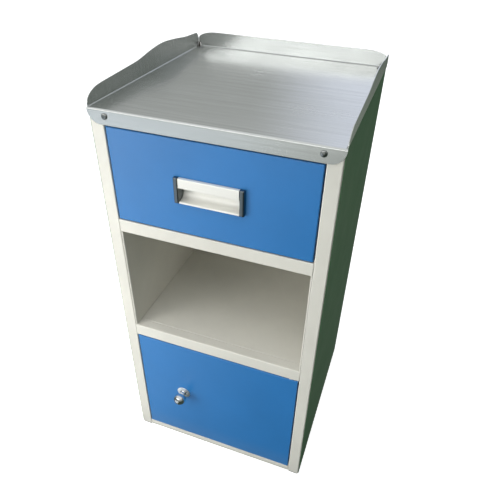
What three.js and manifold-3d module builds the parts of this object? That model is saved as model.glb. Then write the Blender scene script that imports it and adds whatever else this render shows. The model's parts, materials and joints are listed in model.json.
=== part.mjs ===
// Hospital bedside cabinet in folded sheet steel: a stainless top tray, a drawer on roller slides,
// an open compartment and a cupboard whose door turns on two pivot pins.
// Millimetres, +Z up. X runs across the cabinet and the front faces -Y.
import * as THREE from 'three';
import { mergeVertices } from 'three/addons/utils/BufferGeometryUtils.js';
import Module from 'manifold-3d';

const wasm = await Module();
wasm.setup();

// ---------- driving dimensions ----------
// Inside this file y = 0 is the front face of the frame, and z = 0 is the floor.
const BODY_WIDTH = 404;
const BODY_DEPTH = 412;
const TOP_Z = 809; // flat surface of the tray
const FOOT_HEIGHT = 4;
const SHEET = 1.2; // steel sheet
const BEND = 2; // outside radius of a fold
const FIT = 0.3; // gap between touching pieces
const FRONT_GAP = 2; // gap round the drawer front and the door

// Front frame
const POST_WIDTH = 25;
const POST_REVEAL = 32; // depth of the uprights' inner return
const POST_RETURN = 22;
const RAIL_DEPTH = 20;
const BOTTOM_RAIL_TOP = 19;
const LOWER_RAIL = [321, 349];
const MID_RAIL = [583, 609];
const TOP_RAIL_BOTTOM = 783;
const BOARD_THICKNESS = 12;

// Open compartment
const LINING_HALF = 174;
const LINING_BACK = 400;
const SHELF_TURN = 10; // turned edge of a shelf sheet

// Stainless tray
const TRAY_WIDTH = 406;
const TRAY_FRONT = -1.8;
const TRAY_BACK = 413.6;
const TRAY_SHEET = 1.2;
const TRAY_BEND = 3;
const LIP_HEIGHT = 25;
const LIP_CORNER = 22;
const BACK_RAIL_HEIGHT = 29;
const RAIL_HEIGHT_MAX = 40;
const RAIL_CORNER_GAP = 1.5; // from a rail's end to the next rail's outer face
const RELIEF_RADIUS = 3.5; // hole at the foot of each rear corner
// Top edge of a side rail: distance from the front face, height above the flat
const SIDE_RAIL_EDGE = [
  [1, 4], [6, 12.5], [18, 19.5], [40, 24], [110, 27], [160, 29.5], [205, 36],
  [252, 39.5], [300, 36], [350, 30], [394, 27.5], [405, 25], [TRAY_BACK - RAIL_CORNER_GAP, 15],
];
const CORNER_HEIGHT = 15; // where the back rail's rounded corners end
const CORNER_WIDTH = 42;
const TRAY_SCREW_X = 172;
const TRAY_SCREW_DROP = 11;
const REAR_SCREW = [190, 398];
const SCREW_SHANK = 2;
const SCREW_HOLE = SCREW_SHANK + FIT;
const SCREW_INSET = 6; // front screw's hole ends this far behind the lip
const BORE = 20; // length of a drilling tool
const BOARD_HOLE = 14; // the front screws' holes reach this far into the board

// Drawer
const PAN_DEPTH = 18;
const DRAWER_HALF = 163; // outside of the drawer's sides
const DRAWER_BASE_Z = 622;
const DRAWER_SIDE_TOP = 742;
const DRAWER_REAR = 385;
const SIDE_TURN = 8;
const RUNNER_Y = [34, 404];
const RUNNER_Z = [617, 645];
const RUNNER_FLANGE_X = 166;
const SLIDE_TOP = 640;
const SLIDE_FLANGE_X = 173;
const ROLLER_RADIUS = 9;
const ROLLER_WIDTH = 6;
const ROLLER_X = 166.3;
const AXLE_RADIUS = 3;
const RUNNER_ROLLER_Y = 45;
const DRAWER_ROLLER_Y = 378;

// Handle, measured from its own centre
const HANDLE_Z = 695;
const HANDLE_HALF = 60;
const CAP_WIDTH = 8;
const HANDLE_HALF_HEIGHT = 22.5;
const HANDLE_FRONT = -6.5;
const HANDLE_WALL = 1.5;
const CAP_PROUD = 0.5; // how far the end caps stand out from the grip
const CAP_ROUND = 2;
const RECESS_TOP = 5;
const RECESS_BOTTOM = -19.5;
const RECESS_BACK = 12;
const RECESS_TOP_RADIUS = 8;
const RECESS_RADIUS = 13.5;

// Door
const PIVOT = [160, 6];
const PIN_RADIUS = 2.5;
const BUSH_RADIUS = 3.9;
const BUSH_FLANGE_RADIUS = 5.5;
const KNOB = [-78, 172];
const KNOB_BASE_Y = -2.3;
const KNOB_BALL_RADIUS = 13;
const KNOB_BALL_CENTRE = 17; // from the knob's base
const KNOB_SCREW_DEPTH = 9; // depth of the screw's hole in the knob
const KNOB_SCREW_RADIUS = 2;
const ROSE_RADIUS = 15;
const ROSE_THICKNESS = 1.7;
const CATCH_Z = [148, 192];
const CATCH_WIDTH = 14;
const CATCH_DEPTH = 12;

// ---------- worked-out sizes ----------
const HALF_WIDTH = BODY_WIDTH / 2;
const PANEL_INNER = HALF_WIDTH - SHEET;
const POST_OUTER = PANEL_INNER - FIT;
const OPENING_HALF = HALF_WIDTH - POST_WIDTH;
const FRONT_HALF = OPENING_HALF - FRONT_GAP;
const RAIL_HALF = OPENING_HALF - FIT;
const BACK_Y = BODY_DEPTH - SHEET;
const TRAY_UNDER = TOP_Z - TRAY_SHEET;
const FOLD_TOP = TRAY_UNDER + TRAY_BEND;
const BELOW_FLAT = TOP_Z - 5;
const RELIEF_TOP = TOP_Z + 6;
const BOARD_TOP = TRAY_UNDER - FIT;
const BOARD_BOTTOM = BOARD_TOP - BOARD_THICKNESS;
const CARCASS_TOP = BOARD_BOTTOM - FIT;
const CARCASS_BOTTOM = FOOT_HEIGHT + FIT;
const DOOR_Z = [BOTTOM_RAIL_TOP + FRONT_GAP, LOWER_RAIL[0] - FRONT_GAP];
const DRAWER_Z = [MID_RAIL[1] + FRONT_GAP, TOP_RAIL_BOTTOM - FRONT_GAP];
const TRAY_HALF = TRAY_WIDTH / 2;
const GRIP_HALF = HANDLE_HALF - CAP_WIDTH;
const CUTOUT_HALF = GRIP_HALF + 2;
const CUTOUT_Z = [HANDLE_Z + RECESS_BOTTOM - 2, HANDLE_Z + RECESS_TOP + 2];
const PLUG_WIDTH = 1.7;

// ---------- finishes: colour, roughness, metalness ----------
const FINISHES = {
  ivory: [0xe8e4d2, 0.45, 0],
  blue: [0x2f6fb0, 0.4, 0],
  green: [0x2c4a2e, 0.4, 0],
  stainless: [0xb4b8b8, 0.3, 1],
  zinc: [0xa9adb0, 0.4, 1],
  aluminium: [0xe6e5dc, 0.35, 1],
  chrome: [0xd5d7da, 0.08, 1],
  magnet: [0x3a3a3c, 0.6, 0],
  nylon: [0xe9e9e2, 0.5, 0],
  plastic: [0x2b2b2d, 0.6, 0],
  board: [0xb79a6c, 0.8, 0],
};

const cabinet = new THREE.Group();

function add(name, geometry, finish) {
  const [color, roughness, metalness] = FINISHES[finish];
  const material = new THREE.MeshStandardMaterial({ color, roughness, metalness });
  const mesh = new THREE.Mesh(geometry, material);
  mesh.name = name;
  cabinet.add(mesh);
}

// ---------- solids and booleans ----------
function toSolid(geometry) {
  const bare = geometry.clone();
  bare.deleteAttribute('normal');
  bare.deleteAttribute('uv');
  const merged = mergeVertices(bare, 1e-4);
  return new wasm.Manifold(new wasm.Mesh({
    numProp: 3,
    vertProperties: new Float32Array(merged.attributes.position.array),
    triVerts: new Uint32Array(merged.index.array),
  }));
}

function toGeometry(solid) {
  const mesh = solid.getMesh();
  const geometry = new THREE.BufferGeometry();
  geometry.setAttribute('position', new THREE.BufferAttribute(mesh.vertProperties, 3));
  geometry.setIndex(new THREE.BufferAttribute(mesh.triVerts, 1));
  return geometry;
}

function box([x0, x1], [y0, y1], [z0, z1]) {
  const geometry = new THREE.BoxGeometry(x1 - x0, y1 - y0, z1 - z0);
  return geometry.translate((x0 + x1) / 2, (y0 + y1) / 2, (z0 + z1) / 2);
}

// An outline of [x, y] points, extruded along Z
function extrudeZ(outline, [z0, z1]) {
  const shape = new THREE.Shape(outline.map(([u, v]) => new THREE.Vector2(u, v)));
  const geometry = new THREE.ExtrudeGeometry(shape, { depth: z1 - z0, bevelEnabled: false });
  return geometry.translate(0, 0, z0);
}

// An outline of [y, z] points, extruded along X
function extrudeX(outline, [x0, x1]) {
  const turn = new THREE.Matrix4().makeBasis(
    new THREE.Vector3(0, 1, 0), new THREE.Vector3(0, 0, 1), new THREE.Vector3(1, 0, 0));
  return extrudeZ(outline, [x0, x1]).applyMatrix4(turn);
}

// An outline of [x, z] points, extruded along Y
function extrudeY(outline, [y0, y1]) {
  const turn = new THREE.Matrix4().makeBasis(
    new THREE.Vector3(1, 0, 0), new THREE.Vector3(0, 0, 1), new THREE.Vector3(0, -1, 0));
  return extrudeZ(outline, [-y1, -y0]).applyMatrix4(turn);
}

// A solid turned from a profile of [radius, height] points, standing up along Z
function turned(profile, segments = 24) {
  const points = profile.map(([r, h]) => new THREE.Vector2(r, h));
  return new THREE.LatheGeometry(points, segments).rotateX(Math.PI / 2);
}

// The same solid with its height along X or against Y
const alongX = (geometry) => geometry.rotateY(Math.PI / 2);
const towardFront = (geometry) => geometry.rotateX(Math.PI / 2);
const rod = (radius, length, segments = 20) =>
  turned([[0, 0], [radius, 0], [radius, length], [0, length]], segments);

function mirrorX(geometry) {
  const mirrored = geometry.clone().scale(-1, 1, 1);
  const index = mirrored.index.array;
  for (let i = 0; i < index.length; i += 3) {
    [index[i], index[i + 1]] = [index[i + 1], index[i]];
  }
  return mirrored;
}

// ---------- folded sheet ----------
// Outline of a sheet folded along a path. The path is the sheet's outer face, and the sheet lies
// on the left of it. Each corner is a bend of the given outside radius.
function foldedSection(path, thickness = SHEET, bends = BEND, steps = 4) {
  const face = [];
  const back = [];
  const at = (i) => new THREE.Vector2(...path[i]);
  const direction = (i) => at(i + 1).sub(at(i)).normalize();
  const left = (d) => new THREE.Vector2(-d.y, d.x);
  const push = (point, d) => {
    face.push(point.toArray());
    back.push(point.clone().addScaledVector(left(d), thickness).toArray());
  };
  push(at(0), direction(0));
  for (let i = 1; i < path.length - 1; i += 1) {
    const before = direction(i - 1);
    const after = direction(i);
    const turn = Math.atan2(before.cross(after), before.dot(after));
    const side = Math.sign(turn);
    const bend = Array.isArray(bends) ? bends[i - 1] : bends;
    const radius = side > 0 ? bend : bend - thickness;
    const centre = at(i)
      .addScaledVector(before, -radius * Math.tan(Math.abs(turn) / 2))
      .addScaledVector(left(before), side * radius);
    for (let step = 0; step <= steps; step += 1) {
      const d = before.clone().rotateAround(new THREE.Vector2(), (turn * step) / steps);
      push(centre.clone().addScaledVector(left(d), -side * radius), d);
    }
  }
  push(at(path.length - 1), direction(path.length - 2));
  return [...face, ...back.reverse()];
}

const mirroredOutline = (outline, side) => outline.map(([x, y]) => [side * x, y]);

// A block whose four front edges are rounded, reaching from y0 back to y1
function softBlock(half, [y0, y1], [z0, z1], radius) {
  const corner = (u, v, startAngle) => {
    const steps = 4;
    return Array.from({ length: steps + 1 }, (_, i) => {
      const angle = startAngle + (Math.PI / 2) * (i / steps);
      return [u + radius * Math.cos(angle), v + radius * Math.sin(angle)];
    });
  };
  const plan = [
    ...corner(-half + radius, y0 + radius, Math.PI),
    ...corner(half - radius, y0 + radius, -Math.PI / 2),
    [half, y1], [-half, y1],
  ];
  const side = [
    ...corner(y0 + radius, z0 + radius, Math.PI).reverse(),
    ...corner(y0 + radius, z1 - radius, Math.PI / 2).reverse(),
    [y1, z1], [y1, z0],
  ];
  return toSolid(extrudeZ(plan, [z0, z1])).intersect(toSolid(extrudeX(side, [-half, half])));
}

// A sheet pan: a front face with its four edges folded back
function pan(half, [z0, z1]) {
  const inside = softBlock(half - SHEET, [SHEET, PAN_DEPTH + 1], [z0 + SHEET, z1 - SHEET], BEND - SHEET);
  return softBlock(half, [0, PAN_DEPTH], [z0, z1], BEND).subtract(inside);
}

// ---------- carcass ----------
function uprights() {
  const rear = BACK_Y - FIT;
  const front = foldedSection([
    [OPENING_HALF, POST_REVEAL], [OPENING_HALF, 0], [POST_OUTER, 0], [POST_OUTER, POST_RETURN],
  ]);
  const back = foldedSection([
    [POST_OUTER, rear - POST_RETURN], [POST_OUTER, rear], [OPENING_HALF, rear],
    [OPENING_HALF, rear - POST_RETURN],
  ]);
  for (const [name, side] of [['left', -1], ['right', 1]]) {
    const span = [CARCASS_BOTTOM, CARCASS_TOP];
    add(`front_post_${name}`, extrudeZ(mirroredOutline(front, side), span), 'ivory');
    add(`rear_post_${name}`, extrudeZ(mirroredOutline(back, side), span), 'ivory');
  }
}

function railSection([z0, z1]) {
  return foldedSection([[RAIL_DEPTH, z1], [0, z1], [0, z0], [RAIL_DEPTH, z0]]);
}

function frontRails() {
  const span = [-RAIL_HALF, RAIL_HALF];
  const bushHole = (z) => toSolid(
    rod(BUSH_RADIUS + FIT, 4).translate(PIVOT[0], PIVOT[1], z - 2));
  const lower = toSolid(extrudeX(railSection(LOWER_RAIL), span)).subtract(bushHole(LOWER_RAIL[0]));
  const bottom = toSolid(extrudeX(railSection([CARCASS_BOTTOM, BOTTOM_RAIL_TOP]), span))
    .subtract(bushHole(BOTTOM_RAIL_TOP));
  add('top_rail', extrudeX(railSection([TOP_RAIL_BOTTOM, CARCASS_TOP]), span), 'ivory');
  add('mid_rail', extrudeX(railSection(MID_RAIL), span), 'ivory');
  add('lower_rail', toGeometry(lower), 'ivory');
  add('bottom_rail', toGeometry(bottom), 'ivory');
}

function outerPanels() {
  const height = [CARCASS_BOTTOM, BOARD_TOP];
  add('side_panel_left', box([-HALF_WIDTH, -PANEL_INNER], [BEND, BODY_DEPTH], height), 'green');
  add('side_panel_right', box([PANEL_INNER, HALF_WIDTH], [BEND, BODY_DEPTH], height), 'green');
  add('back_panel', box([-POST_OUTER, POST_OUTER], [BACK_Y, BODY_DEPTH], height), 'green');
}

// A shelf sheet between the side panels, notched round the uprights. Its front and back edges are
// turned by SHELF_TURN, down or up.
function shelf(z, turnUp) {
  const front = RAIL_DEPTH + FIT;
  const rear = BACK_Y - FIT;
  const edge = turnUp ? z + SHELF_TURN : z - SHELF_TURN;
  const path = [[rear, edge], [rear, z], [front, z], [front, edge]];
  const section = foldedSection(turnUp ? path.reverse() : path);
  const plate = turnUp ? [z, z + SHEET] : [z - SHEET, z];
  const wings = box([-PANEL_INNER + FIT, PANEL_INNER - FIT],
    [POST_REVEAL + FIT, rear - POST_RETURN - FIT], plate);
  return toGeometry(toSolid(extrudeX(section, [-RAIL_HALF, RAIL_HALF])).add(toSolid(wings)));
}

function shelves() {
  add('cupboard_floor', shelf(BOTTOM_RAIL_TOP, false), 'ivory');
  add('compartment_floor', shelf(LOWER_RAIL[1], false), 'ivory');
  add('compartment_ceiling', shelf(MID_RAIL[0], true), 'ivory');
}

function compartmentLining() {
  const height = [LOWER_RAIL[1] + FIT, MID_RAIL[0] - FIT];
  const frontEdge = 1;
  const wall = foldedSection([
    [LINING_HALF, LINING_BACK], [LINING_HALF, frontEdge], [RAIL_HALF, frontEdge],
  ], SHEET, 1.6);
  const back = [LINING_BACK + FIT, LINING_BACK + FIT + SHEET];
  add('compartment_wall_left', extrudeZ(mirroredOutline(wall, -1), height), 'ivory');
  add('compartment_wall_right', extrudeZ(wall, height), 'ivory');
  add('compartment_back', box([-RAIL_HALF, RAIL_HALF], back, height), 'ivory');
}

function feet() {
  const plate = 19; // front to back
  const plugHeight = 16;
  const plug = [OPENING_HALF + SHEET + FIT, POST_OUTER - SHEET - FIT];
  for (const [end, y0] of [['front', SHEET + FIT], ['rear', BACK_Y - FIT - SHEET - FIT - plate]]) {
    for (const [name, side] of [['left', -1], ['right', 1]]) {
      const xs = [side * plug[0], side * plug[1]].sort((a, b) => a - b);
      const pad = box(xs, [y0, y0 + plate], [0, FOOT_HEIGHT]);
      const stem = box(xs, [y0, y0 + plate], [FOOT_HEIGHT - 1, FOOT_HEIGHT + plugHeight]);
      add(`foot_${end}_${name}`, toGeometry(toSolid(pad).add(toSolid(stem))), 'plastic');
    }
  }
}

// ---------- stainless top ----------
function topBoard() {
  const board = toSolid(
    box([-POST_OUTER, POST_OUTER], [FIT, BACK_Y - FIT], [BOARD_BOTTOM, BOARD_TOP]));
  const cuts = [-1, 1].flatMap((side) => [
    towardFront(rod(SCREW_HOLE, BORE)).translate(
      side * TRAY_SCREW_X, BOARD_HOLE, TOP_Z - TRAY_SCREW_DROP),
    rod(SCREW_HOLE, BORE).translate(side * REAR_SCREW[0], REAR_SCREW[1], BOARD_BOTTOM + 1),
  ]);
  add('top_board', toGeometry(cuts.reduce((solid, cut) => solid.subtract(toSolid(cut)), board)), 'board');
}

// Outline of a side rail seen from the side. It stops short of the back rail's fold low down.
function sideRailOutline() {
  const curve = new THREE.SplineCurve(SIDE_RAIL_EDGE.map(([y, h]) => new THREE.Vector2(y, TOP_Z + h)));
  const edge = curve.getPoints(46).map((p) => p.toArray());
  const first = SIDE_RAIL_EDGE[0][0];
  const last = SIDE_RAIL_EDGE.at(-1)[0];
  const foldStart = TRAY_BACK - TRAY_BEND;
  return [
    [first, BELOW_FLAT], ...edge, [last, FOLD_TOP], [foldStart, FOLD_TOP], [foldStart, BELOW_FLAT],
  ].reverse();
}

// Outline of the back rail seen from the front, with long rounded top corners. Low down it stops
// short of the side rails' folds.
function backRailOutline() {
  const half = TRAY_HALF - RAIL_CORNER_GAP;
  const steps = 10;
  const drop = BACK_RAIL_HEIGHT - CORNER_HEIGHT;
  const corner = Array.from({ length: steps + 1 }, (_, i) => {
    const angle = (Math.PI / 2) * (i / steps);
    return [
      half - CORNER_WIDTH + CORNER_WIDTH * Math.cos(angle),
      TOP_Z + CORNER_HEIGHT + drop * Math.sin(angle),
    ];
  });
  const mirrored = corner.map(([x, z]) => [-x, z]).reverse();
  const foldStart = TRAY_HALF - TRAY_BEND;
  return [
    [foldStart, BELOW_FLAT], [foldStart, FOLD_TOP], [half, FOLD_TOP], ...corner,
    ...mirrored, [-half, FOLD_TOP], [-foldStart, FOLD_TOP], [-foldStart, BELOW_FLAT],
  ];
}

// Outline of the turned-down lip seen from the front, with rounded lower corners
function lipOutline() {
  const bottom = TOP_Z - LIP_HEIGHT;
  const steps = 8;
  const arc = (side) => Array.from({ length: steps + 1 }, (_, i) => {
    const angle = (Math.PI / 2) * (i / steps);
    return [
      side * (TRAY_HALF - LIP_CORNER + LIP_CORNER * Math.cos(angle)),
      bottom + LIP_CORNER - LIP_CORNER * Math.sin(angle),
    ];
  });
  const above = TOP_Z + 1;
  return [[-TRAY_HALF, above], ...arc(-1), ...arc(1).reverse(), [TRAY_HALF, above]];
}

function tray() {
  const upright = TOP_Z + RAIL_HEIGHT_MAX + 5;
  const sideFold = foldedSection([
    [TRAY_HALF, upright], [TRAY_HALF, TRAY_UNDER], [-TRAY_HALF, TRAY_UNDER], [-TRAY_HALF, upright],
  ].reverse(), TRAY_SHEET, TRAY_BEND);
  const overlap = 10; // how far the three folds share the flat at the front
  const backFold = foldedSection([
    [TRAY_FRONT + overlap - 2, TRAY_UNDER], [TRAY_BACK, TRAY_UNDER], [TRAY_BACK, upright],
  ], TRAY_SHEET, TRAY_BEND);
  const frontFold = foldedSection([
    [TRAY_FRONT + overlap, TOP_Z], [TRAY_FRONT, TOP_Z], [TRAY_FRONT, TOP_Z - LIP_HEIGHT],
  ], TRAY_SHEET, TRAY_BEND);
  const sides = toSolid(extrudeY(sideFold, [TRAY_FRONT + TRAY_BEND, TRAY_BACK - RAIL_CORNER_GAP]))
    .intersect(toSolid(extrudeX(sideRailOutline(), [-TRAY_HALF - 1, TRAY_HALF + 1])));
  const backHalf = TRAY_HALF - RAIL_CORNER_GAP;
  const back = toSolid(extrudeX(backFold, [-backHalf, backHalf]))
    .intersect(toSolid(extrudeY(backRailOutline(), [TRAY_FRONT - 1, TRAY_BACK + 1])));
  const lip = toSolid(extrudeX(frontFold, [-TRAY_HALF, TRAY_HALF]))
    .intersect(toSolid(extrudeY(lipOutline(), [TRAY_FRONT - 1, TRAY_FRONT + overlap + 1])));
  const reliefInset = TRAY_BEND - 0.5;
  const cuts = [-1, 1].flatMap((side) => [
    rod(RELIEF_RADIUS, RELIEF_TOP - BELOW_FLAT).translate(
      side * (TRAY_HALF - reliefInset), TRAY_BACK - reliefInset, BELOW_FLAT),
    rod(SCREW_HOLE, BORE).translate(side * REAR_SCREW[0], REAR_SCREW[1], TOP_Z - BORE / 2),
    towardFront(rod(SCREW_HOLE, BORE)).translate(
      side * TRAY_SCREW_X, TRAY_FRONT + SCREW_INSET, TOP_Z - TRAY_SCREW_DROP),
  ]);
  const underSideFolds = [-1, 1].map((side) => toSolid(
    box([0, TRAY_BEND], [TRAY_FRONT + TRAY_BEND, TRAY_FRONT + overlap + 1], [BELOW_FLAT, TOP_Z + 1])
      .translate(side > 0 ? TRAY_HALF - TRAY_BEND : -TRAY_HALF, 0, 0)));
  const whole = underSideFolds.reduce((solid, cut) => solid.subtract(cut), lip).add(sides).add(back);
  const drilled = cuts.reduce((solid, cut) => solid.subtract(toSolid(cut)), whole);
  add('top_tray', toGeometry(drilled), 'stainless');
}

function trayScrew() {
  const head = 4.2;
  return turned([
    [0, -10], [SCREW_SHANK, -9], [SCREW_SHANK, FIT], [head, FIT], [head * 0.9, 1.3],
    [head * 0.55, 2], [0, 2.2],
  ], 20);
}

function trayScrews() {
  for (const [name, side] of [['left', -1], ['right', 1]]) {
    const front = towardFront(trayScrew())
      .translate(side * TRAY_SCREW_X, TRAY_FRONT, TOP_Z - TRAY_SCREW_DROP);
    const rear = trayScrew().translate(side * REAR_SCREW[0], REAR_SCREW[1], TOP_Z);
    add(`tray_screw_front_${name}`, front, 'zinc');
    add(`tray_screw_rear_${name}`, rear, 'zinc');
  }
}

// ---------- drawer slides ----------
const RUNNER_WEB = OPENING_HALF - 0.5;
const RUNNER_ROLLER_Z = SLIDE_TOP - SHEET - FIT - ROLLER_RADIUS;
const DRAWER_ROLLER_Z = RUNNER_Z[0] + SHEET + FIT + ROLLER_RADIUS;

function roller(y, z) {
  const bore = AXLE_RADIUS + FIT;
  const ring = turned([
    [bore, 0], [ROLLER_RADIUS, 0], [ROLLER_RADIUS, ROLLER_WIDTH], [bore, ROLLER_WIDTH], [bore, 0],
  ], 32);
  return alongX(ring).translate(ROLLER_X, y, z);
}

function drawerSlides() {
  const channel = foldedSection([
    [RUNNER_FLANGE_X, RUNNER_Z[0]], [RUNNER_WEB, RUNNER_Z[0]],
    [RUNNER_WEB, RUNNER_Z[1]], [RUNNER_FLANGE_X, RUNNER_Z[1]],
  ]);
  const slideWeb = DRAWER_HALF + FIT;
  const slide = foldedSection([
    [SLIDE_FLANGE_X, SLIDE_TOP], [slideWeb, SLIDE_TOP], [slideWeb, DRAWER_BASE_Z],
  ]);
  const axleEnd = ROLLER_X + ROLLER_WIDTH + FIT;
  const runnerAxle = alongX(rod(AXLE_RADIUS, RUNNER_WEB - SHEET / 2 - ROLLER_X))
    .translate(ROLLER_X, RUNNER_ROLLER_Y, RUNNER_ROLLER_Z);
  const runnerBoss = alongX(rod(AXLE_RADIUS + 2, RUNNER_WEB - SHEET / 2 - axleEnd))
    .translate(axleEnd, RUNNER_ROLLER_Y, RUNNER_ROLLER_Z);
  const drawerAxle = alongX(rod(AXLE_RADIUS, ROLLER_X + ROLLER_WIDTH - slideWeb - SHEET / 2))
    .translate(slideWeb + SHEET / 2, DRAWER_ROLLER_Y, DRAWER_ROLLER_Z);
  const runner = toGeometry(toSolid(extrudeY(channel, RUNNER_Y))
    .add(toSolid(runnerAxle)).add(toSolid(runnerBoss)));
  const member = toGeometry(toSolid(extrudeY(slide, [PAN_DEPTH + FIT, DRAWER_REAR]))
    .add(toSolid(drawerAxle)));
  const rollers = {
    runner: toGeometry(toSolid(roller(RUNNER_ROLLER_Y, RUNNER_ROLLER_Z))),
    drawer: toGeometry(toSolid(roller(DRAWER_ROLLER_Y, DRAWER_ROLLER_Z))),
  };
  for (const [name, place] of [['left', mirrorX], ['right', (geometry) => geometry]]) {
    add(`drawer_runner_${name}`, place(runner), 'zinc');
    add(`drawer_slide_${name}`, place(member), 'zinc');
    add(`runner_roller_${name}`, place(rollers.runner), 'nylon');
    add(`drawer_roller_${name}`, place(rollers.drawer), 'nylon');
  }
}

// ---------- drawer ----------
function liner(half, [z0, z1]) {
  const edge = SHEET + FIT;
  return box([-half + edge, half - edge], [PAN_DEPTH - SHEET, PAN_DEPTH], [z0 + edge, z1 - edge]);
}

function drawerBox() {
  const cutout = toSolid(box([-CUTOUT_HALF, CUTOUT_HALF], [-5, 5], CUTOUT_Z));
  const start = PAN_DEPTH + FIT;
  const inner = DRAWER_HALF - SHEET - FIT;
  const bottomZ = DRAWER_BASE_Z + SHEET + FIT;
  const side = foldedSection([
    [DRAWER_HALF - SIDE_TURN, DRAWER_BASE_Z], [DRAWER_HALF, DRAWER_BASE_Z],
    [DRAWER_HALF, DRAWER_SIDE_TOP], [DRAWER_HALF - SIDE_TURN, DRAWER_SIDE_TOP],
  ]);
  const backTop = DRAWER_SIDE_TOP - SHEET - FIT;
  add('drawer_front', toGeometry(pan(FRONT_HALF, DRAWER_Z).subtract(cutout)), 'blue');
  add('drawer_front_liner', liner(FRONT_HALF, DRAWER_Z), 'ivory');
  add('drawer_side_left', extrudeY(mirroredOutline(side, -1), [start, DRAWER_REAR]), 'ivory');
  add('drawer_side_right', extrudeY(side, [start, DRAWER_REAR]), 'ivory');
  add('drawer_bottom', box([-inner, inner], [start, DRAWER_REAR], [bottomZ, bottomZ + SHEET]), 'ivory');
  add('drawer_back',
    box([-inner, inner], [DRAWER_REAR - SHEET, DRAWER_REAR], [bottomZ + SHEET + FIT, backTop]), 'ivory');
}

function handle() {
  const section = foldedSection([
    [-FIT, HANDLE_HALF_HEIGHT], [HANDLE_FRONT, HANDLE_HALF_HEIGHT], [HANDLE_FRONT, RECESS_TOP],
    [RECESS_BACK, RECESS_TOP], [RECESS_BACK, RECESS_BOTTOM], [HANDLE_FRONT + 0.5, RECESS_BOTTOM],
    [HANDLE_FRONT + 0.5, -HANDLE_HALF_HEIGHT],
  ], HANDLE_WALL, [2, 1.8, RECESS_TOP_RADIUS, RECESS_RADIUS, 1.8], 8);
  const grip = extrudeX(section, [-GRIP_HALF + FIT, GRIP_HALF - FIT]).translate(0, 0, HANDLE_Z);
  add('handle_grip', grip, 'aluminium');

  const halfHeight = HANDLE_HALF_HEIGHT + CAP_PROUD;
  const height = [HANDLE_Z - halfHeight, HANDLE_Z + halfHeight];
  const block = softBlock(CAP_WIDTH / 2, [HANDLE_FRONT - CAP_PROUD, -FIT], height, CAP_ROUND)
    .translate([GRIP_HALF + CAP_WIDTH / 2, 0, 0]);
  const plug = toSolid(box([GRIP_HALF, GRIP_HALF + PLUG_WIDTH], [-2, RECESS_BACK + HANDLE_WALL],
    [CUTOUT_Z[0] + FIT, CUTOUT_Z[1] - FIT]));
  const cap = toGeometry(block.add(plug));
  add('handle_cap_right', cap, 'chrome');
  add('handle_cap_left', mirrorX(cap), 'chrome');
}

// ---------- door ----------
function door() {
  const pinHole = toSolid(rod(PIN_RADIUS + FIT, DOOR_Z[1] - DOOR_Z[0] + 20)
    .translate(PIVOT[0], PIVOT[1], DOOR_Z[0] - 10));
  const screwHole = toSolid(towardFront(rod(KNOB_SCREW_RADIUS + FIT, PAN_DEPTH + 10))
    .translate(KNOB[0], PAN_DEPTH + 5, KNOB[1]));
  add('door_panel', toGeometry(pan(FRONT_HALF, DOOR_Z).subtract(pinHole).subtract(screwHole)), 'blue');
  add('door_liner', toGeometry(toSolid(liner(FRONT_HALF, DOOR_Z)).subtract(screwHole)), 'ivory');
}

function knob() {
  const hole = KNOB_SCREW_RADIUS + FIT;
  const steps = 18;
  const neck = -1.05; // angle at which the ball runs into its neck
  const ball = Array.from({ length: steps + 1 }, (_, i) => {
    const angle = neck + (Math.PI / 2 - neck) * (i / steps);
    return [
      KNOB_BALL_RADIUS * Math.cos(angle), KNOB_BALL_CENTRE + KNOB_BALL_RADIUS * Math.sin(angle),
    ];
  });
  ball[steps][0] = 0;
  const profile = [
    [0, KNOB_SCREW_DEPTH], [hole, KNOB_SCREW_DEPTH], [hole, 0], [7.5, 0], [6.7, 1.2], [6.3, 3.5], ...ball,
  ];
  add('door_knob', towardFront(turned(profile, 36)).translate(KNOB[0], KNOB_BASE_Y, KNOB[1]), 'chrome');

  const rose = turned([
    [hole, 0], [ROSE_RADIUS, 0], [ROSE_RADIUS, 0.5], [ROSE_RADIUS - 1, 1], [ROSE_RADIUS - 2.5, 1.4],
    [ROSE_RADIUS - 5, ROSE_THICKNESS], [hole, ROSE_THICKNESS], [hole, 0],
  ], 48);
  add('knob_rose', towardFront(rose).translate(KNOB[0], -FIT, KNOB[1]), 'chrome');

  const headY = PAN_DEPTH + FIT;
  const reach = headY - KNOB_BASE_Y + KNOB_SCREW_DEPTH - 1;
  const screw = turned([
    [0, -2.2], [2.4, -2], [4, -1], [4, 0], [KNOB_SCREW_RADIUS, 0], [KNOB_SCREW_RADIUS, reach], [0, reach],
  ], 20);
  add('knob_screw', towardFront(screw).translate(KNOB[0], headY, KNOB[1]), 'zinc');
}

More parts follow.
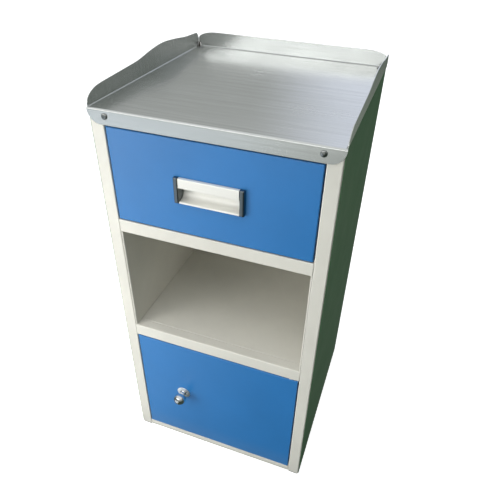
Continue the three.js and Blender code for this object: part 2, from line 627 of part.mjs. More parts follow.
function pivots() {
  const shoulder = 3.8; // radius and length of the part welded inside the door
  const shoulderLength = 8;
  const engagement = 4; // pin inside the rail
  const inset = SHEET + FIT;
  const tip = inset + FRONT_GAP + SHEET + engagement;
  const pin = turned([
    [0, -shoulderLength], [shoulder, -shoulderLength], [shoulder, 0], [PIN_RADIUS, 0],
    [PIN_RADIUS, tip - 1], [PIN_RADIUS - 1, tip], [0, tip],
  ], 20);
  const bore = PIN_RADIUS + FIT;
  const flange = 0.7;
  const bushDepth = 4.5;
  const bush = turned([
    [bore, -flange], [BUSH_FLANGE_RADIUS, -flange], [BUSH_FLANGE_RADIUS, 0], [BUSH_RADIUS, 0],
    [BUSH_RADIUS, bushDepth], [bore, bushDepth], [bore, -flange],
  ], 24);
  const upsideDown = (geometry) => geometry.clone().rotateX(Math.PI);
  const [x, y] = PIVOT;
  add('pivot_pin_top', pin.clone().translate(x, y, DOOR_Z[1] - inset), 'zinc');
  add('pivot_pin_bottom', upsideDown(pin).translate(x, y, DOOR_Z[0] + inset), 'zinc');
  add('pivot_bush_top', bush.clone().translate(x, y, LOWER_RAIL[0] - FIT), 'nylon');
  add('pivot_bush_bottom', upsideDown(bush).translate(x, y, BOTTOM_RAIL_TOP + FIT), 'nylon');
}

function magneticCatch() {
  const [x0, x1] = [-OPENING_HALF + FIT, -OPENING_HALF + FIT + CATCH_WIDTH];
  const [z0, z1] = CATCH_Z;
  const wall = 3; // body's side walls
  const end = 8; // body's ends
  const strikeDepth = 1;
  const strikeBack = PAN_DEPTH + FIT + strikeDepth;
  const front = strikeBack + FIT;
  const magnetBack = front + 5;
  const pocket = box([x0 + wall, x1 - wall], [front - 1, magnetBack], [z0 + end, z1 - end]);
  const body = toSolid(box([x0, x1], [front, front + CATCH_DEPTH], CATCH_Z));
  add('catch_body', toGeometry(body.subtract(toSolid(pocket))), 'nylon');
  add('catch_magnet', box([x0 + wall + FIT, x1 - wall - FIT], [front, magnetBack - FIT],
    [z0 + end + FIT, z1 - end - FIT]), 'magnet');
  add('strike_plate', box([x0 + wall + 0.5, x1 + wall], [strikeBack - strikeDepth, strikeBack],
    [z0 + wall, z1 - wall]), 'zinc');
}

// ---------- assembly ----------
uprights();
frontRails();
outerPanels();
shelves();
compartmentLining();
feet();
topBoard();
tray();
trayScrews();
drawerSlides();
drawerBox();
handle();
door();
knob();
pivots();
magneticCatch();

// The origin is on the floor, under the middle of the whole object.
const bounds = new THREE.Box3().setFromObject(cabinet);
cabinet.position.set(0, -(bounds.min.y + bounds.max.y) / 2, 0);

export default cabinet;
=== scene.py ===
"""Looks of the hospital bedside cabinet: camera, light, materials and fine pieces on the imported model.

Everything is in metres in the CAD frame: X runs across, the front faces -Y, Z is up and the floor is
at z = 0. Places come from the CAD nodes' boxes. Sizes of the fine pieces are in millimetres, and MM
turns them to metres.
"""
import json
import math

import bmesh
import bpy
from mathutils import Matrix, Vector, noise


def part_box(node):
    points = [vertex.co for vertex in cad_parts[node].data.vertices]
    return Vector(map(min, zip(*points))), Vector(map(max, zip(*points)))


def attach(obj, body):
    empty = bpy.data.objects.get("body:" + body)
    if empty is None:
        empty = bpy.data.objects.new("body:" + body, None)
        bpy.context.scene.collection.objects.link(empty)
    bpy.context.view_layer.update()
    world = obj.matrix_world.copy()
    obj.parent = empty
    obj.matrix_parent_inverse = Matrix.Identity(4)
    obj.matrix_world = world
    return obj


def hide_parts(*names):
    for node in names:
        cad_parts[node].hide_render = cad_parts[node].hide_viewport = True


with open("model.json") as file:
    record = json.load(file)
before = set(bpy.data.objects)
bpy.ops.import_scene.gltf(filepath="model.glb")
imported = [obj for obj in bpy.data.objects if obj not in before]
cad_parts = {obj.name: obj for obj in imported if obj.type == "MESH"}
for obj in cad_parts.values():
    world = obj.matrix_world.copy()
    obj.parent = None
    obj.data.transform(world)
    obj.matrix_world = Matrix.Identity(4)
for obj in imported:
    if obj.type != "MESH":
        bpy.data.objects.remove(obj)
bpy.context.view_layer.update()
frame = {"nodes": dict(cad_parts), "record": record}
MM = 0.001

# ---------- places taken from the frame ----------
FRONT_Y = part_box("front_post_right")[0].y  # front face of the uprights
BACK_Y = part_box("back_panel")[1].y  # outer face of the back
SIDE_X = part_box("side_panel_right")[1].x  # outer face of the right side


# ---------- camera ----------
def make_camera():
    """Hand-held view from the right of centre, above the top and looking down at the front."""
    place = Vector((0.2773, FRONT_Y - 0.6087, 1.0799))
    turn_left, look_down, roll = (math.radians(a) for a in (18.84, 36.27, 1.61))
    data = bpy.data.cameras.new("camera")
    data.sensor_width = 36
    data.lens = 35.05
    camera = bpy.data.objects.new("camera", data)
    camera.matrix_world = (
        Matrix.Translation(place)
        @ Matrix.Rotation(turn_left, 4, "Z")
        @ Matrix.Rotation(math.pi / 2 - look_down, 4, "X")
        @ Matrix.Rotation(roll, 4, "Z")
    )
    bpy.context.scene.collection.objects.link(camera)
    bpy.context.scene.camera = camera


# ---------- light and floor ----------
class Sky:
    """The world's node tree, with short ways to make its nodes."""

    def __init__(self, name):
        world = bpy.data.worlds.new(name)
        bpy.context.scene.world = world
        world.use_nodes = True
        self.tree = world.node_tree
        self.tree.nodes.clear()
        self.direction = self.tree.nodes.new("ShaderNodeTexCoord").outputs["Generated"]

    def facing(self, direction, start, end):
        """0 to 1 as the view turns from start to end, both cosines from that direction."""
        dot = self.tree.nodes.new("ShaderNodeVectorMath")
        dot.operation = "DOT_PRODUCT"
        dot.inputs[1].default_value = Vector(direction).normalized()
        self.tree.links.new(self.direction, dot.inputs[0])
        ramp = self.tree.nodes.new("ShaderNodeMapRange")
        ramp.interpolation_type = "SMOOTHSTEP"
        ramp.inputs["From Min"].default_value = start
        ramp.inputs["From Max"].default_value = end
        self.tree.links.new(dot.outputs["Value"], ramp.inputs["Value"])
        return ramp.outputs["Result"]

    def blend(self, factor, first, second):
        mix = self.tree.nodes.new("ShaderNodeMix")
        mix.data_type = "RGBA"
        self.tree.links.new(factor, mix.inputs["Factor"])
        for value, socket in ((first, mix.inputs[6]), (second, mix.inputs[7])):
            if isinstance(value, bpy.types.NodeSocket):
                self.tree.links.new(value, socket)
            else:
                socket.default_value = value
        return mix.outputs[2]

    def finish(self, colour):
        background = self.tree.nodes.new("ShaderNodeBackground")
        out = self.tree.nodes.new("ShaderNodeOutputWorld")
        self.tree.links.new(colour, background.inputs["Color"])
        self.tree.links.new(background.outputs[0], out.inputs["Surface"])


def make_world():
    """A plain studio: dark low down and pale overhead, with a few soft patches of its walls and floor.

    Each patch has its direction, the cosines at which it starts and is full, and its colour.
    """
    sky = Sky("studio")
    up = (0, 0, 1)
    floor, wall, ceiling = (0.05, 0.07, 0.055, 1), (0.3, 0.315, 0.3, 1), (0.85, 0.87, 0.88, 1)
    floor_patches = (
        ((0.1, 0.8, -0.58), 0.88, 0.97, (0.2, 0.23, 0.19, 1)),  # behind, which dulls the side's green
        ((-0.25, -0.93, -0.22), 0.935, 0.985, (0.7, 0.73, 0.7, 1)),  # in front, which lights the lip
        ((-0.6, -0.6, -0.53), 0.86, 0.97, (0.74, 0.82, 0.89, 1)),  # left, the haze on the blue fronts
    )
    room_patches = (
        ((0.15, 1, 0.33), 0.9, 0.97, (0.88, 0.93, 1.08, 1)),  # a bright wall behind, seen in the tray
        ((0.86, 0.5, 0.1), 0.5, 0.9, (0.1, 0.12, 0.1, 1)),  # a dark corner on the right
    )
    for direction, start, full, tone in floor_patches:
        floor = sky.blend(sky.facing(direction, start, full), floor, tone)
    room = sky.blend(sky.facing(up, 0.2, 0.9), wall, ceiling)
    for direction, start, full, tone in room_patches:
        room = sky.blend(sky.facing(direction, start, full), room, tone)
    sky.finish(sky.blend(sky.facing(up, -0.06, 0.08), floor, room))


def glowing_white(name, base, glow):
    """A matt grey that also gives off an even white glow."""
    material = bpy.data.materials.new(name)
    material.use_nodes = True
    shader = material.node_tree.nodes["Principled BSDF"]
    shader.inputs["Base Color"].default_value = (base, base, base, 1)
    shader.inputs["Roughness"].default_value = 0.9
    shader.inputs["Specular IOR Level"].default_value = 0.0
    shader.inputs["Emission Color"].default_value = (1, 1, 1, 1)
    shader.inputs["Emission Strength"].default_value = glow
    return material


def make_floor_and_backdrop():
    """White floor and dome that light nothing and show in no reflection, like a light table's glass."""
    span = 60  # metres, so that no view sees where they end
    bpy.ops.mesh.primitive_plane_add(size=span, location=(0, 0, 0))
    floor = bpy.context.object
    floor.name = "floor"
    floor.data.materials.append(glowing_white("floor", 0.97, 0.65))
    bpy.ops.mesh.primitive_ico_sphere_add(radius=span / 2 - 2, subdivisions=4)
    dome = bpy.context.object
    dome.name = "backdrop"
    dome.visible_shadow = False
    dome.data.materials.append(glowing_white("backdrop", 0.0, 1.0))
    for stage in (floor, dome):
        stage.visible_glossy = False
        stage.visible_diffuse = False


def make_softbox(name, place, target, size, power, colour=(1, 1, 1), lights=True):
    """An area light at place, facing target: it lights surfaces, or else only shows in reflections."""
    data = bpy.data.lights.new(name, "AREA")
    data.shape = "RECTANGLE"
    data.size, data.size_y = size
    data.energy = power
    data.color = colour
    light = bpy.data.objects.new(name, data)
    light.location = place
    light.rotation_euler = (Vector(target) - Vector(place)).to_track_quat("-Z", "Y").to_euler()
    light.visible_glossy = not lights
    light.visible_diffuse = lights
    bpy.context.scene.collection.objects.link(light)


make_camera()
make_world()
make_floor_and_backdrop()
make_softbox("key", (-0.75, -0.8, 0.5), (-0.1, 0, 0.45), (0.45, 0.9), 8.2, (1, 0.985, 0.95))
make_softbox("overhead", (-0.5, -0.9, 2.3), (0, 0, 0.6), (1.4, 1.0), 10.5)
make_softbox("side", (1.6, 0.4, 1.5), (0.2, 0, 0.55), (1.2, 1.0), 4.5)
make_softbox("fill", (-0.5, -2.6, 0.4), (0, 0, 0.4), (1.2, 0.6), 14)
make_softbox("reflector", (-0.75, -1.5, 1.24), (-0.3, 0, 1.22), (2.0, 0.5), 7.6, lights=False)
bpy.context.scene.view_settings.view_transform = "Standard"


# ---------- paint colours ----------
IVORY = (0.66, 0.647, 0.59)
BLUE = (0.022, 0.168, 0.45)
GREEN = (0.065, 0.165, 0.075)


# ---------- material nodes ----------
class Graph:
    """A material's node tree, with short ways to make the nodes that the finishes share."""

    def __init__(self, name):
        self.material = bpy.data.materials.new(name)
        self.material.use_nodes = True
        self.tree = self.material.node_tree
        self.shader = self.tree.nodes["Principled BSDF"]
        self.place = self.tree.nodes.new("ShaderNodeTexCoord").outputs["Object"]

    def plug(self, value, socket):
        if isinstance(value, bpy.types.NodeSocket):
            self.tree.links.new(value, socket)
        else:
            socket.default_value = value

    def node(self, kind, settings=None, **inputs):
        made = self.tree.nodes.new(kind)
        for key, value in (settings or {}).items():
            setattr(made, key, value)
        for key, value in inputs.items():
            self.plug(value, made.inputs[key.replace("_", " ")])
        return made

    def set(self, **values):
        for key, value in values.items():
            self.plug(value, self.shader.inputs[key.replace("_", " ")])

    def scaled(self, scale):
        """Object coordinates multiplied by scale along each axis."""
        return self.node("ShaderNodeMapping", Vector=self.place, Scale=scale).outputs["Vector"]

    def noise(self, scale, detail=3.0, roughness=0.5, vector=None):
        made = self.node(
            "ShaderNodeTexNoise", Scale=scale, Detail=detail, Roughness=roughness,
            Vector=vector or self.place,
        )
        return made.outputs["Fac"]

    def ramp(self, value, low, high, start=0.0, end=1.0):
        """value, taken from start..end to low..high, and held there outside that range."""
        made = self.node(
            "ShaderNodeMapRange", Value=value, From_Min=start, From_Max=end, To_Min=low, To_Max=high,
        )
        return made.outputs["Result"]

    def mix(self, factor, first, second):
        made = self.node("ShaderNodeMix", {"data_type": "RGBA"})
        self.plug(factor, made.inputs["Factor"])
        self.plug(first, made.inputs[6])
        self.plug(second, made.inputs[7])
        return made.outputs[2]

    def math(self, operation, first, second=0.0):
        made = self.node("ShaderNodeMath", {"operation": operation})
        self.plug(first, made.inputs[0])
        self.plug(second, made.inputs[1])
        return made.outputs[0]

    def axis(self, name):
        return self.node("ShaderNodeSeparateXYZ", Vector=self.place).outputs[name]

    def bump(self, height, distance, strength=1.0, normal=None):
        made = self.node("ShaderNodeBump", Height=height, Strength=strength, Distance=distance)
        if normal:
            self.plug(normal, made.inputs["Normal"])
        return made.outputs["Normal"]

    def edges(self, radius):
        """1 on outer edges and 0 on flats, from a rounded normal."""
        rounded = self.node("ShaderNodeBevel", {"samples": 4}, Radius=radius)
        true = self.node("ShaderNodeNewGeometry").outputs["True Normal"]
        dot = self.node("ShaderNodeVectorMath", {"operation": "DOT_PRODUCT"})
        self.plug(rounded.outputs["Normal"], dot.inputs[0])
        self.plug(true, dot.inputs[1])
        return self.ramp(dot.outputs["Value"], 1.0, 0.0, 0.75, 0.985)


def shade(colour, factor):
    """The colour times factor, with an alpha of 1."""
    return tuple(channel * factor for channel in colour[:3]) + (1,)


def weld_marks(graph):
    """1 inside each round mark of the spot welds, in an upright row along each edge of a side sheet."""
    pitch, radius, from_edge = 90 * MM, 4.0 * MM, 14 * MM
    depth = (BACK_Y - FRONT_Y) / 2
    from_row = graph.math("SUBTRACT", graph.math("ABSOLUTE", graph.axis("Y")), depth - from_edge)
    along = graph.math("SUBTRACT", graph.math("MODULO", graph.axis("Z"), pitch), pitch / 2)
    across, up = (graph.math("MULTIPLY", value, value) for value in (from_row, along))
    distance = graph.math("SQRT", graph.math("ADD", across, up))
    return graph.ramp(distance, 1, 0, radius * 0.6, radius)


def paint_nodes(graph, colour, roughness, coat, specular, welded_sheet=False):
    """Powder coat: orange peel, faint mottling, dust low down and thin worn edges.

    A welded sheet also has wide shallow waves and the dimples of its spot welds.
    """
    dust_height, most_dust, dust_colour = 70 * MM, 0.12, (0.3, 0.29, 0.26, 1)
    worn_width, most_wear, primer = 0.6 * MM, 0.5, (0.4, 0.4, 0.39, 1)
    mottle = graph.ramp(graph.noise(9.0, 4.0, 0.6), 0.95, 1.04, 0.3, 0.7)
    body = graph.node("ShaderNodeHueSaturation", Color=colour, Value=mottle).outputs["Color"]
    dust = graph.ramp(graph.axis("Z"), most_dust, 0.0, 0.0, dust_height)
    dusty = graph.mix(dust, body, dust_colour)
    chips = graph.ramp(graph.noise(140.0, 5.0, 0.7), 0, most_wear, 0.57, 0.66)
    worn = graph.math("MULTIPLY", graph.edges(worn_width), chips)
    graph.set(Base_Color=graph.mix(worn, dusty, primer))
    smear = graph.noise(14.0, 5.0, 0.65)
    graph.set(Roughness=graph.ramp(smear, roughness - 0.03, roughness + 0.05, 0.3, 0.7))
    graph.set(Coat_Weight=coat, Coat_Roughness=0.25, Specular_IOR_Level=specular)
    orange_peel = graph.bump(graph.noise(430.0, 2.0), 0.06 * MM, 0.5)
    normal = graph.bump(graph.noise(26.0, 2.0), 0.35 * MM, 0.1, orange_peel)
    if welded_sheet:
        normal = graph.bump(graph.noise(4.5, 1.0), 3.0 * MM, 0.16, normal)
        normal = graph.bump(graph.math("SUBTRACT", 1.0, weld_marks(graph)), 0.4 * MM, 0.8, normal)
    graph.set(Normal=normal)


def make_paint(name, colour, roughness, coat):
    graph = Graph(name)
    paint_nodes(graph, colour + (1,), roughness, coat, specular=0.5)
    return graph.material


def make_shell_paint():
    """The side and back sheets' paint: green outside and ivory inside."""
    graph = Graph("green_paint")
    skin = 1.0 * MM  # less than the sheet's thickness
    beyond_side = graph.math("GREATER_THAN", graph.math("ABSOLUTE", graph.axis("X")), SIDE_X - skin)
    beyond_back = graph.math("GREATER_THAN", graph.axis("Y"), BACK_Y - skin)
    outside = graph.math("MAXIMUM", beyond_side, beyond_back)
    colour = graph.mix(outside, IVORY + (1,), GREEN + (1,))
    paint_nodes(graph, colour, roughness=0.46, coat=0.0, specular=0.35, welded_sheet=True)
    return graph.material


def make_stainless():
    """Brushed sheet: its grain runs across the top and up the side rails, under faint hand marks."""
    graph = Graph("stainless_sheet")
    half_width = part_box("top_tray")[1].x
    at_side = graph.math("GREATER_THAN", graph.math("ABSOLUTE", graph.axis("X")), half_width - 2 * MM)
    fine, coarse = (
        graph.mix(at_side, graph.scaled((along, across, across)), graph.scaled((along, across, along)))
        for along, across in ((14, 1500), (4, 260))  # cells in a metre, along and across the grain
    )
    grain = graph.noise(1.0, 3.0, 0.6, fine)
    streak = graph.noise(1.0, 2.0, 0.5, coarse)
    smudge = graph.noise(7.0, 4.0, 0.6)
    both = graph.math("ADD", graph.math("MULTIPLY", grain, 0.35), graph.math("MULTIPLY", streak, 0.65))
    dark, light = (0.605, 0.62, 0.605, 1), (0.69, 0.705, 0.695, 1)
    graph.set(Base_Color=graph.mix(graph.ramp(both, 0, 1, 0.35, 0.65), dark, light), Metallic=0.86)
    base = graph.ramp(smudge, 0.18, 0.27, 0.3, 0.7)
    graph.set(Roughness=graph.math("ADD", base, graph.ramp(both, -0.03, 0.04)))
    dents = graph.bump(graph.noise(6.0, 1.0), 1.2 * MM, 0.16)
    graph.set(Normal=graph.bump(streak, 0.02 * MM, 0.1, dents))
    return graph.material


def make_zinc():
    """Zinc plating with a fine spangle."""
    graph = Graph("zinc_steel")
    cell = graph.node("ShaderNodeTexVoronoi", Vector=graph.place, Scale=260.0)
    spangle = graph.ramp(cell.outputs["Color"], 0, 1)
    dark, light = (0.46, 0.47, 0.5, 1), (0.62, 0.63, 0.65, 1)
    graph.set(Base_Color=graph.mix(spangle, dark, light), Metallic=1.0)
    graph.set(Roughness=graph.ramp(spangle, 0.28, 0.42))
    graph.set(Normal=graph.bump(graph.noise(400.0, 3.0), 0.02 * MM, 0.3))
    return graph.material


def make_dark_steel(name, dark, light, roughness):
    """Steel darkened by a plating or by heat, blotched and finely pitted; the weld's near-black tone is
    also painted shade.
    """
    graph = Graph(name)
    blotch = graph.ramp(graph.noise(420.0, 4.0, 0.6), 0, 1, 0.35, 0.65)
    graph.set(Base_Color=graph.mix(blotch, dark + (1,), light + (1,)), Metallic=1.0)
    graph.set(Roughness=graph.ramp(blotch, roughness, roughness + 0.12))
    graph.set(Normal=graph.bump(graph.noise(1300.0, 2.0), 0.02 * MM, 0.4))
    return graph.material


def make_aluminium():
    """Satin anodised extrusion with fine die lines along its length."""
    graph = Graph("satin_aluminium")
    lines = graph.noise(1.0, 2.0, 0.5, graph.scaled((20, 2600, 2600)))
    dark, light = (0.8, 0.79, 0.745, 1), (0.87, 0.86, 0.81, 1)
    graph.set(Base_Color=graph.mix(lines, dark, light), Metallic=0.25)
    graph.set(Roughness=graph.ramp(lines, 0.34, 0.44))
    graph.set(Normal=graph.bump(lines, 0.012 * MM, 0.3))
    return graph.material


def make_chrome(name, tone, roughness, metallic=1.0):
    """Plating with faint finger marks."""
    graph = Graph(name)
    marks = graph.noise(90.0, 4.0, 0.6)
    graph.set(Base_Color=(tone - 0.02, tone, tone + 0.01, 1), Metallic=metallic)
    graph.set(Roughness=graph.ramp(marks, roughness, roughness + 0.08))
    graph.set(Normal=graph.bump(graph.noise(120.0, 2.0), 0.02 * MM, 0.1))
    return graph.material


def make_plastic(name, colour, roughness):
    """Moulded plastic or pressed magnet: a fine grain and a slightly uneven tone."""
    graph = Graph(name)
    grain = graph.noise(700.0, 3.0)
    tone = graph.mix(graph.noise(40.0, 3.0), shade(colour, 0.9), shade(colour, 1.08))
    graph.set(Base_Color=tone, Roughness=graph.ramp(grain, roughness - 0.06, roughness + 0.08))
    graph.set(Normal=graph.bump(grain, 0.03 * MM, 0.3))
    return graph.material


def make_board():
    """Raw particle board: pressed flakes in three browns."""
    graph = Graph("particle_board")
    dark, middle, light = (0.33, 0.21, 0.1, 1), (0.5, 0.34, 0.17, 1), (0.62, 0.45, 0.25, 1)
    flake = graph.node("ShaderNodeTexVoronoi", Vector=graph.scaled((1, 1, 2.2)), Scale=420.0)
    tone = graph.mix(flake.outputs["Color"], dark, light)
    graph.set(Base_Color=graph.mix(graph.noise(30.0, 5.0), tone, middle), Roughness=0.85)
    graph.set(Normal=graph.bump(flake.outputs["Distance"], 0.1 * MM, 0.5))
    return graph.material


MATERIALS = {
    "ivory_paint": make_paint("ivory_paint", IVORY, 0.4, 0.1),
    "blue_paint": make_paint("blue_paint", BLUE, 0.34, 0.35),
    "green_paint": make_shell_paint(),
    "stainless_sheet": make_stainless(),
    "zinc_steel": make_zinc(),
    "satin_aluminium": make_aluminium(),
    "chrome": make_chrome("chrome", 0.76, 0.05),
    "magnet": make_plastic("magnet", (0.035, 0.035, 0.04), 0.55),
    "white_nylon": make_plastic("white_nylon", (0.76, 0.76, 0.71), 0.45),
    "black_plastic": make_plastic("black_plastic", (0.025, 0.025, 0.027), 0.5),
    "particle_board": make_board(),
}

# Darker chrome for the handle's end caps: partly a smoked finish, partly painted shade of the recess
# ends and painted dark reflection.
SMOKED_AND_SHADED_CHROME = make_chrome("smoked_and_shaded_chrome", 0.2, 0.08)
SATIN_CHROME = make_chrome("satin_chrome", 0.9, 0.24, 0.7)
SCREW_STEEL = make_dark_steel("screw_steel", (0.26, 0.27, 0.27), (0.4, 0.41, 0.4), 0.1)
# The weld's near-black tone also stands in for the shade in the tray's rear corner gaps: painted shade.
WELD = make_dark_steel("weld", (0.05, 0.05, 0.045), (0.16, 0.14, 0.11), 0.45)

# ---------- CAD nodes: material and rounded edges ----------
SLOTS = {part["node"]: part["material_slot"] for part in frame["record"]["subparts"]}


def add_finish(piece, edge):
    """Merges a mesh's triangles back to faces, rounds its edges and shades its flats flat."""
    weld = piece.modifiers.new("weld", "WELD")
    weld.merge_threshold = 0.01 * MM
    faces = piece.modifiers.new("faces", "DECIMATE")
    faces.decimate_type = "DISSOLVE"
    faces.angle_limit = math.radians(0.5)
    bevel = piece.modifiers.new("edges", "BEVEL")
    bevel.width = edge
    bevel.segments = 2
    bevel.limit_method = "ANGLE"
    bevel.angle_limit = math.radians(40)
    normals = piece.modifiers.new("normals", "WEIGHTED_NORMAL")
    normals.weight = 100
    normals.keep_sharp = False
    piece.data.polygons.foreach_set("use_smooth", [True] * len(piece.data.polygons))


def finish_node(node, edge=0.3 * MM):
    """Gives a CAD node its material and its rounded edges."""
    piece = frame["nodes"][node]
    # the end caps take the darker chrome, whose darkness is partly painted shade and painted reflection
    material = SMOKED_AND_SHADED_CHROME if node.startswith("handle_cap") else MATERIALS[SLOTS[node]]
    if piece.material_slots:
        piece.material_slots[0].material = material
    else:
        piece.data.materials.append(material)
    add_finish(piece, edge)


for name in frame["nodes"]:
    finish_node(name)


# ---------- solids for the fine pieces ----------
TO_FRONT = Matrix.Rotation(math.pi / 2, 4, "X")  # turns +Z to the front
TO_RIGHT = Matrix.Rotation(math.pi / 2, 4, "Y")  # turns +Z to +X


def turned(profile, segments=48):
    """A closed solid turned about Z from (radius, height) points in mm.

    Its profile runs from axis to axis, or ends where it starts.
    """
    mesh = bmesh.new()
    rings = []
    for radius, height in profile:
        count = segments if radius else 1
        angles = [2 * math.pi * i / segments for i in range(count)]
        places = [Vector((radius * math.cos(a), radius * math.sin(a), height)) * MM for a in angles]
        rings.append([mesh.verts.new(place) for place in places])
    if profile[0] == profile[-1]:
        for vert in rings.pop():
            mesh.verts.remove(vert)
        rings.append(rings[0])
    for below, above in zip(rings, rings[1:]):
        for i in range(segments):
            j = (i + 1) % segments
            low = [below[k % len(below)] for k in (i, j)]
            high = [above[k % len(above)] for k in (j, i)]
            mesh.faces.new(list(dict.fromkeys(low + high)))  # three corners next to the axis
    bmesh.ops.recalc_face_normals(mesh, faces=mesh.faces)
    return mesh


def carve(solid, cutter):
    """solid less cutter; both are meshes that this uses up."""
    objects = []
    for mesh in (solid, cutter):
        data = bpy.data.meshes.new("carving")
        mesh.to_mesh(data)
        mesh.free()
        objects.append(bpy.data.objects.new("carving", data))
        bpy.context.scene.collection.objects.link(objects[-1])
    cut = objects[0].modifiers.new("cut", "BOOLEAN")
    cut.object = objects[1]
    evaluated = objects[0].evaluated_get(bpy.context.evaluated_depsgraph_get())
    result = bmesh.new()
    result.from_mesh(evaluated.to_mesh())
    for carving in objects:
        bpy.data.meshes.remove(carving.data)
    return result


def make_piece(name, mesh, matrix, body, slot, nodes=(), material=None):
    """A piece with smooth rounds and sharp corners, which rides a body and may stand for CAD nodes."""
    sharp = math.radians(35)
    for edge in mesh.edges:
        edge.smooth = edge.calc_face_angle(0) < sharp
    data = bpy.data.meshes.new(name)
    mesh.to_mesh(data)
    mesh.free()
    data.polygons.foreach_set("use_smooth", [True] * len(data.polygons))
    data.materials.append(material or MATERIALS[slot])
    piece = bpy.data.objects.new(name, data)
    piece.matrix_world = matrix
    bpy.context.scene.collection.objects.link(piece)
    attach(piece, body)
    if nodes:
        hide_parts(*nodes)
    return piece


def spot(x, y, z, turn=Matrix(), spin=0.0):
    """The matrix that puts a turned solid at a place, its axis turned and the solid spun about it."""
    return Matrix.Translation((x, y, z)) @ turn @ Matrix.Rotation(spin, 4, "Z")


# ---------- screws ----------
def cross_punch(reach, width, low, high):
    """A punch with four arms between two heights in mm, narrower at its foot."""
    foot_scale = 0.55
    mesh = bmesh.new()
    rings = []
    for height, scale in ((low, foot_scale), (high, 1.0)):
        ring = []
        for quarter in range(4):
            turn = Matrix.Rotation(quarter * math.pi / 2, 3, "Z")
            for x, y in ((reach, -width), (reach, width), (width, width)):
                ring.append(mesh.verts.new(turn @ Vector((x * scale, y * scale, height)) * MM))
        mesh.faces.new(ring)
        rings.append(ring)
    for i, corner in enumerate(rings[0]):
        mesh.faces.new((rings[0][i - 1], corner, rings[1][i], rings[1][i - 1]))
    bmesh.ops.recalc_face_normals(mesh, faces=mesh.faces)
    return mesh


def screw_mesh(head, shank, length, rise):
    """A pan-head screw with a cross recess; its head's underside is at z = 0."""
    solid = turned([
        (0, -length), (shank * 0.8, -length + 0.8), (shank, -length + 1.6), (shank, 0),
        (head * 0.97, 0), (head, rise * 0.12), (head, rise * 0.3), (head * 0.96, rise * 0.5),
        (head * 0.85, rise * 0.72), (head * 0.62, rise * 0.9), (head * 0.3, rise * 0.98), (0, rise),
    ], segments=40)
    arm, half_width = head * 0.62, head * 0.13
    return carve(solid, cross_punch(arm, half_width, low=rise * 0.25, high=rise * 1.75))


def tray_screws():
    """Four pan-head screws, each at its own turn: two through the tray's lip, two through its flat."""
    head, shank, length, rise = 5.1, 2.0, 9.7, 2.1
    from_end = 10.3 * MM  # a front head's underside to the CAD screw's end
    from_tip = 2.4 * MM  # a rear head's underside to the CAD head's tip
    spins = {"front_left": 0.4, "front_right": 1.3, "rear_left": 0.7, "rear_right": 1.5}
    for name, spin in spins.items():
        node = f"tray_screw_{name}"
        low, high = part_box(node)
        middle = (low + high) / 2
        if name.startswith("front"):
            place = spot(middle.x, high.y - from_end, middle.z, TO_FRONT, spin)
        else:
            place = spot(middle.x, middle.y, high.z - from_tip, spin=spin)
        mesh = screw_mesh(head, shank, length, rise)
        make_piece(f"{node}_head", mesh, place, "cabinet", "zinc_steel", (node,), SCREW_STEEL)


def catch_screws():
    """Two small screws hold the catch's ends to the upright."""
    from_end = 4 * MM
    low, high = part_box("catch_body")
    for name, z, spin in (("lower", low.z + from_end, 0.2), ("upper", high.z - from_end, 1.1)):
        mesh = screw_mesh(head=2.4, shank=1.2, length=8, rise=1.3)
        place = spot(high.x, (low.y + high.y) / 2, z, TO_RIGHT, spin)
        make_piece(f"catch_screw_{name}", mesh, place, "cabinet", "zinc_steel")


# ---------- knob ----------
def knob_pieces():
    """A turned ball knob on its neck, and the dished rose behind it."""
    bore, bore_depth, steps = 2.3, 9, 28
    neck_angle = -1.05  # where the ball meets its neck, below its widest ring
    low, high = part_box("door_knob")
    middle = (low + high) / 2
    ball = (high.x - low.x) / 2 / MM
    centre = (high.y - low.y) / MM - ball
    arc = [neck_angle + (math.pi / 2 - neck_angle) * i / steps for i in range(steps)]
    round_part = [(ball * math.cos(a), centre + ball * math.sin(a)) for a in arc]
    base = [
        (0, bore_depth), (bore, bore_depth), (bore, 0), (7.1, 0), (7.5, 0.3), (7.5, 0.9), (7.1, 1.3),
        (6.5, 2.2), (6.3, 3.6),
    ]
    knob = turned(base + round_part + [(0, centre + ball)], 72)
    place = spot(middle.x, high.y, middle.z, TO_FRONT)
    make_piece("knob_turned", knob, place, "door", "chrome", ("door_knob",))

    low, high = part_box("knob_rose")
    rim = (high.x - low.x) / 2 / MM
    rise = (high.y - low.y) / MM
    rose = turned([
        (bore, 0), (rim - 0.2, 0), (rim, 0.2), (rim, 0.45), (rim - 0.3, 0.75), (rim - 1, 1.0),
        (rim - 2.5, 1.35), (rim - 4.5, 1.6), (rim - 6.5, rise), (bore, rise), (bore, 0),
    ], 72)
    place = spot(middle.x, high.y, middle.z, TO_FRONT)
    make_piece("rose_turned", rose, place, "door", "chrome", ("knob_rose",), SATIN_CHROME)


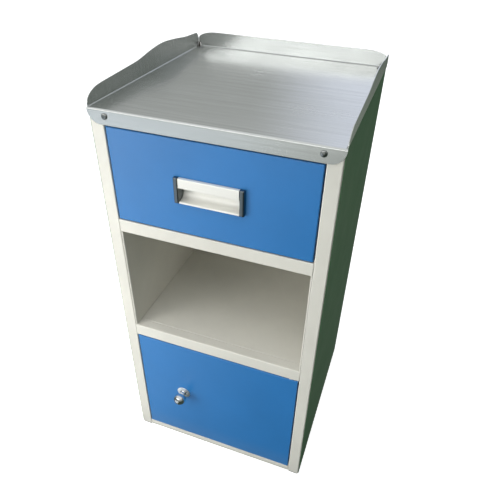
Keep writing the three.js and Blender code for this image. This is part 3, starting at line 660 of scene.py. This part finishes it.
# ---------- rollers and rivets ----------
def rollers():
    """Moulded rollers: a crowned tread, a sunk web on each side and a raised hub."""
    radius, width, bore, sunk = 9.0, 6.0, 3.3, 0.9
    half = [
        (bore, 0), (5.2, 0), (5.4, sunk), (6.9, sunk), (7.2, 0), (8.4, 0), (radius - 0.1, 0.7),
        (radius, 1.8),
    ]
    other_half = [(r, width - height) for r, height in reversed(half)]
    profile = half + other_half + half[:1]
    for kind in ("runner_roller", "drawer_roller"):
        for side in ("left", "right"):
            node = f"{kind}_{side}"
            low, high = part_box(node)
            place = spot(low.x, (low.y + high.y) / 2, (low.z + high.z) / 2, TO_RIGHT)
            make_piece(f"{node}_moulded", turned(profile, 56), place, node, "white_nylon", (node,))


def rivets():
    """Three domed rivets hold each slide to its drawer side; their heads show inside the drawer."""
    sheet = 1.2 * MM
    dome = [(0, -0.4), (2.3, -0.4), (2.4, 0.15), (2.2, 0.5), (1.6, 0.85), (0.8, 1.02), (0, 1.08)]
    for side, sign in (("left", -1), ("right", 1)):
        low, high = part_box(f"drawer_side_{side}")
        inner = (low.x if sign < 0 else high.x) - sign * sheet
        slide_low, slide_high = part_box(f"drawer_slide_{side}")
        z = (slide_low.z + slide_high.z) / 2
        turn = Matrix.Rotation(-sign * math.pi / 2, 4, "Y")
        for i, part in enumerate((0.12, 0.5, 0.88)):
            y = low.y + (high.y - low.y) * part
            place = spot(inner, y, z, turn)
            make_piece(f"slide_rivet_{side}_{i + 1}", turned(dome, 28), place, "drawer", "zinc_steel")


# ---------- welds ----------
def corner_welds():
    """A rippled bead of weld closes the foot of each rear corner of the tray; its near-black tone is
    painted shade for the shadowed corner gap.
    """
    radius, half_height, from_edge = 2.6, 5.2, 3.0 * MM
    low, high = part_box("top_tray")
    middle_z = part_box("tray_screw_rear_left")[1].z  # level with the rear screws' heads
    for side, sign in (("left", -1), ("right", 1)):
        mesh = bmesh.new()
        bmesh.ops.create_icosphere(mesh, subdivisions=4, radius=1.0)
        for vert in mesh.verts:
            ripple = 1 + 0.07 * math.sin(vert.co.z * 11) + 0.05 * noise.noise(vert.co * 3.1)
            vert.co = vert.co * Vector((radius, radius, half_height)) * ripple * MM
        x = (high.x if sign > 0 else low.x) - sign * from_edge
        place = spot(x, high.y - from_edge, middle_z)
        # the dark weld material here is painted shade in the corner gap
        make_piece(f"corner_weld_{side}", mesh, place, "cabinet", "stainless_sheet", material=WELD)


tray_screws()
catch_screws()
knob_pieces()
rollers()
rivets()
corner_welds()
